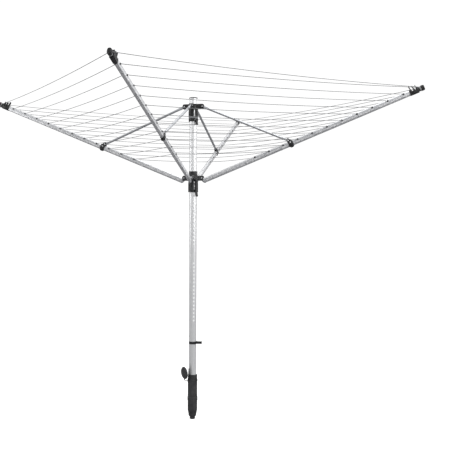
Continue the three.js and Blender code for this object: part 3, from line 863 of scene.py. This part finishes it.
def build_strut():
    """A round tube that is pressed flat at both ends, where the pins go through."""
    stations = [-HUB_EYE, -0.0085, -0.0075, -0.006, -0.004, -0.002, 0.0, 0.01, 0.02, EYE_LENGTH]
    stations += [EYE_LENGTH + EYE_LENGTH * i / 6 for i in range(1, 7)]
    stations += [LINK - 2 * EYE_LENGTH + EYE_LENGTH * i / 6 for i in range(7)]
    stations += [LINK - 0.015]
    stations += [LINK + past for past in (0.0, 0.002, 0.004, 0.0055, 0.0063, ARM_EYE)]
    rings = []
    for x in stations:
        half_width, half_height, round_share = strut_section(x)
        past = max(-x, 0.0, x - LINK)
        shrink = math.sqrt(max(0.02, 1 - (past / strut_eye(x)) ** 2))
        power = 5.0 - 3.0 * round_share
        ring = []
        for c, s in circle(1.0, 32):
            y = half_width * math.copysign(abs(c) ** (2 / power), c)
            z = half_height * shrink * math.copysign(abs(s) ** (2 / power), s)
            ring.append(Vector((x, y, z)))
        rings.append(ring)
    return to_mesh("strut_bar", loft(rings), 50)


def build_cap(back):
    """The arm cap's CAD shape, rounded, with raised ribs on its sleeve and recesses in its nose."""
    parts = [rounded_node("arm_cap_1", 0.0007, back)]
    cutters = []
    for side in (-1, 1):
        face = side * 0.0127
        parts.append(block((0.0018, 0.0012, 0.027), (1.4245, face, ARM_MID), 0.0004))
        parts.append(block((0.0016, 0.0012, 0.026), (1.4745, face, ARM_MID), 0.0004))
        for z in (ARM_MID - 0.0105, ARM_MID + 0.0005):
            parts.append(block((0.046, 0.0012, 0.0016), (1.449, face, z), 0.0004))
        for z in (ARM_MID - 0.0065, ARM_MID + 0.0065):
            cutters.append(block((0.011, 0.003, 0.0085), (1.502, side * 0.0125, z), 0.0009))
    for i in (-1, 0, 1):
        cutters.append(block((0.003, 0.013, 0.004), (1.5142, 0, ARM_MID + i * 0.008), 0.0006))
    return carved(to_mesh("cap", joined(parts)), joined(cutters))


def build_line_wrap():
    """One turn of line round the groove in the arm cap."""
    path = oval(GROOVE_WIDTH + 2 * LINE_R, GROOVE_HEIGHT + 2 * LINE_R, ARM_MID, 10)
    side = Vector((1, 0, 0))
    rings = []
    for i, (y, z) in enumerate(path):
        ahead = path[(i + 1) % len(path)]
        behind = path[i - 1]
        along = Vector((0, ahead[0] - behind[0], ahead[1] - behind[1])).normalized()
        out = along.cross(side)
        centre = Vector((GROOVE_X, y, z))
        rings.append([centre + (side * c + out * s) * LINE_R for c, s in circle(1.0, 8)])
    return to_mesh("line_wrap", loft(rings, closed_path=True), 60)


def build_arms():
    """The four arms with what rides on them, and the four struts."""
    back = arm_frame(1).inverted()
    tube = build_arm_tube()
    root = to_mesh("root", rounded_node("arm_root_1", 0.0009, back))
    cap = build_cap(back)
    cap.transform(arm_frame(1))
    clamp = to_mesh("clamp", rounded_node("bracket_1", 0.0008))
    bolt = to_mesh("bolt", rivet(PIN_R, 0.0131, 0.0052, 0.0021))
    strut_pin = to_mesh("link_pin", rivet(PIN_R, 0.0109, 0.006, 0.0016))
    eyelets = build_eyelets()
    wrap = build_line_wrap()
    # The wrap and the spans are copies of one near-white line: the spans' copy is darkened with painted
    # shade, this paler one less so.
    wrap.materials.append(coated_line("line_wrap", (0.62, 0.63, 0.64), (0.5, 0.51, 0.52)))
    strut = build_strut()
    for k in ARMS:
        at = arm_frame(k)
        body = f"arm_{k}"
        place(f"arm_profile_{k}", tube, at, body, "arm_alloy", f"arm_tube_{k}")
        place(f"root_{k}", root, at, body, "arm_alloy", f"arm_root_{k}")
        place(f"cap_{k}", cap, spoke(k), body, "black_plastic", f"arm_cap_{k}")
        place(f"clamp_{k}", clamp, spoke(k), body, "black_plastic", f"bracket_{k}")
        place(f"bolt_{k}", bolt, at @ shift(BOLT_X, 0, HOLE_Z) @ ALONG_Y, body, "steel",
              f"bracket_bolt_{k}")
        place(f"link_pin_{k}", strut_pin, at @ shift(LINK_X, 0, LINK_RISE) @ ALONG_Y, body,
              "steel", f"strut_pin_{k}")
        place(f"eyelets_{k}", eyelets, at, body, "black_plastic")
        place(f"line_wrap_{k}", wrap, at, body, "line_cord")
        place(f"strut_bar_{k}", strut, strut_frame(k), f"strut_{k}", "arm_alloy", f"strut_{k}")


# ------------------------------------------------------------------ drying line

LINE_REACH = 0.0134
SAG = 0.008  # of a span's length, at its middle
HALF_SPAN_STEPS = 8


def crossing(k, along, side):
    """Where the line meets arm k, at a distance along it and on its side -1 or +1."""
    return arm_frame(k) @ Vector((along, side * LINE_REACH, HOLE_Z))


def line_end():
    """The line's outer end, at the groove in the cap of arm 1."""
    return arm_frame(1) @ Vector((LINE_END_X, -LINE_REACH, HOLE_Z))


def sagging(near, far):
    """Points after near on the near half of a sagging span."""
    length = (far - near).length
    points = []
    for i in range(1, HALF_SPAN_STEPS + 1):
        t = i / (2 * HALF_SPAN_STEPS)
        point = near.lerp(far, t)
        point.z -= SAG * length * 4 * t * (1 - t)
        points.append(point)
    return points


def half_span(k, side, n):
    """Points of the line from the middle of arm k's hole n to halfway to the next arm."""
    # The spiral moves out by one hole on its way from arm 4 to arm 1
    step = {(4, 1): 1, (1, -1): -1}.get((k, side), 0)
    if n + step < 0:
        return None
    near = crossing(k, hole_x(n), side)
    if n + step > HOLES:
        far = line_end()
    else:
        far = crossing((k + side - 1) % 4 + 1, hole_x(n + step), -side)
    return [arm_frame(k) @ Vector((hole_x(n), 0, HOLE_Z)), near] + sagging(near, far)


def tube_along(points):
    """A tube of the line's thickness along a path."""
    rings = []
    for i, point in enumerate(points):
        arriving = (point - points[max(i - 1, 0)]).normalized()
        leaving = (points[min(i + 1, len(points) - 1)] - point).normalized()
        along = (arriving + leaving).normalized()
        across = along.cross(Vector((0, 0, 1))).normalized()
        above = across.cross(along)
        rings.append([point + (across * c + above * s) * LINE_R for c, s in circle(1.0, 8)])
    return loft(rings)


def build_line():
    """The line's twelve rounds, as the half spans on each side of each arm."""
    for k in ARMS:
        for side, label in ((-1, "a"), (1, "b")):
            start = (k, side) == (1, -1)
            paths = [half_span(k, side, n) for n in range(HOLES + 1)]
            if start:
                paths.append([line_end()] + sagging(line_end(), crossing(4, hole_x(HOLES), 1)))
            tubes = [tube_along(path) for path in paths if path]
            name = f"line_{k}{label}"
            nodes = ("drying_line",) if start else ()
            piece = place(name, to_mesh(name, joined(tubes), 60), STILL, f"arm_{k}", "line_cord",
                          *nodes)
            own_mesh(piece)


build_socket()
build_lid()
build_mast()
build_hubs()
build_levers()
build_hub_pins()
build_arms()
build_line()

# ------------------------------------------------------------------ floor, light and backdrop

FLOOR_RADIUS = 60
FLOOR_GLOW = 0.8  # the floor's white as the camera sees it
FLOOR_WHITE = (0.5, 0.5, 0.5, 1)
FLOOR_GREY = (0.24, 0.24, 0.245, 1)  # as lights and reflections meet it
BACKDROP = 1.05  # white behind the object, as the camera sees it

SKY_SIDE = math.radians(-35)  # azimuth of the brightest side
SKY_BEHIND = 0.27
SKY_FRONT = 1.25
SKY_ABOVE = 1.2
SKY_TURN = (-0.6, 0.75)  # from behind to front, as the cosine of the angle off SKY_SIDE
SKY_RISE = (0.12, 0.65)  # from the horizon's light to the light above


def by_camera_ray(tree, seen, unseen, output):
    """Mixes what the camera sees directly with what lights and reflections meet."""
    path = tree.nodes.new("ShaderNodeLightPath")
    mixed = tree.nodes.new("ShaderNodeMixShader")
    tree.links.new(path.outputs["Is Camera Ray"], mixed.inputs[0])
    tree.links.new(unseen, mixed.inputs[1])
    tree.links.new(seen, mixed.inputs[2])
    tree.links.new(mixed.outputs[0], output.inputs["Surface"])


def build_floor():
    """A wide floor, nearly as white as the backdrop to the camera but grey to everything else."""
    bm = bmesh.new()
    bmesh.ops.create_circle(bm, cap_ends=True, radius=FLOOR_RADIUS, segments=96)
    mesh = bpy.data.meshes.new("floor")
    bm.to_mesh(mesh)
    bm.free()
    floor = bpy.data.objects.new("floor", mesh)
    bpy.context.scene.collection.objects.link(floor)
    material = bpy.data.materials.new("floor")
    material.use_nodes = True
    tree = material.node_tree
    tree.nodes.clear()
    output = tree.nodes.new("ShaderNodeOutputMaterial")
    glow = tree.nodes.new("ShaderNodeEmission")
    glow.inputs["Strength"].default_value = FLOOR_GLOW
    pale = tree.nodes.new("ShaderNodeBsdfDiffuse")
    pale.inputs["Color"].default_value = FLOOR_WHITE
    both = tree.nodes.new("ShaderNodeAddShader")
    tree.links.new(glow.outputs[0], both.inputs[0])
    tree.links.new(pale.outputs[0], both.inputs[1])
    plain = tree.nodes.new("ShaderNodeBsdfDiffuse")
    plain.inputs["Color"].default_value = FLOOR_GREY
    by_camera_ray(tree, both.outputs[0], plain.outputs[0], output)
    mesh.materials.append(material)


def build_world():
    """A plain white backdrop, lit by a sky that is brighter in front and above."""
    world = bpy.data.worlds.new("world")
    bpy.context.scene.world = world
    world.use_nodes = True
    tree = world.node_tree
    tree.nodes.clear()
    output = tree.nodes.new("ShaderNodeOutputWorld")
    white = tree.nodes.new("ShaderNodeBackground")
    white.inputs["Color"].default_value = (1, 1, 1, 1)
    white.inputs["Strength"].default_value = BACKDROP
    sky = tree.nodes.new("ShaderNodeBackground")
    coords = tree.nodes.new("ShaderNodeTexCoord")
    split = tree.nodes.new("ShaderNodeSeparateXYZ")
    tree.links.new(coords.outputs["Generated"], split.inputs[0])
    facing = tree.nodes.new("ShaderNodeVectorMath")
    facing.operation = "DOT_PRODUCT"
    facing.inputs[1].default_value = (math.cos(SKY_SIDE), math.sin(SKY_SIDE), 0)
    tree.links.new(coords.outputs["Generated"], facing.inputs[0])
    horizon = map_range(tree, facing.outputs["Value"], *SKY_TURN, SKY_BEHIND, SKY_FRONT)
    height = map_range(tree, split.outputs["Z"], *SKY_RISE, 0.0, 1.0)
    blend = tree.nodes.new("ShaderNodeMix")
    tree.links.new(height, blend.inputs[0])
    tree.links.new(horizon, blend.inputs[2])
    blend.inputs[3].default_value = SKY_ABOVE
    tree.links.new(blend.outputs[0], sky.inputs["Strength"])
    by_camera_ray(tree, white.outputs[0], sky.outputs[0], output)


def area_light(name, azimuth, elevation, distance, size, power, target=(0, 0, 1.5)):
    """A soft light at a bearing from its target, in degrees, that the camera cannot see."""
    data = bpy.data.lights.new(name, "AREA")
    data.shape = "RECTANGLE"
    data.size, data.size_y = size
    data.energy = power
    light = bpy.data.objects.new(name, data)
    bpy.context.scene.collection.objects.link(light)
    a, e = math.radians(azimuth), math.radians(elevation)
    away = Vector((math.cos(a) * math.cos(e), math.sin(a) * math.cos(e), math.sin(e)))
    light.location = Vector(target) + away * distance
    light.visible_camera = False
    light.rotation_mode = "QUATERNION"
    light.rotation_quaternion = (-away).to_track_quat("-Z", "Y")


build_floor()
build_world()
area_light("key", -60, 55, 5.5, (3.0, 3.0), 70)
area_light("left", -160, 8, 3.4, (1.6, 2.0), 26, (0, 0, 1.6))
area_light("right", -22, 10, 3.4, (1.4, 2.0), 26, (0, 0, 1.7))
area_light("side", 58, 14, 4.2, (2.4, 2.4), 16, (0, 0, 1.9))
area_light("top", 60, 75, 5.5, (4.0, 4.0), 90)

scene = bpy.context.scene
scene.view_settings.view_transform = "Standard"
scene.view_settings.look = "None"
scene.view_settings.exposure = 0.0
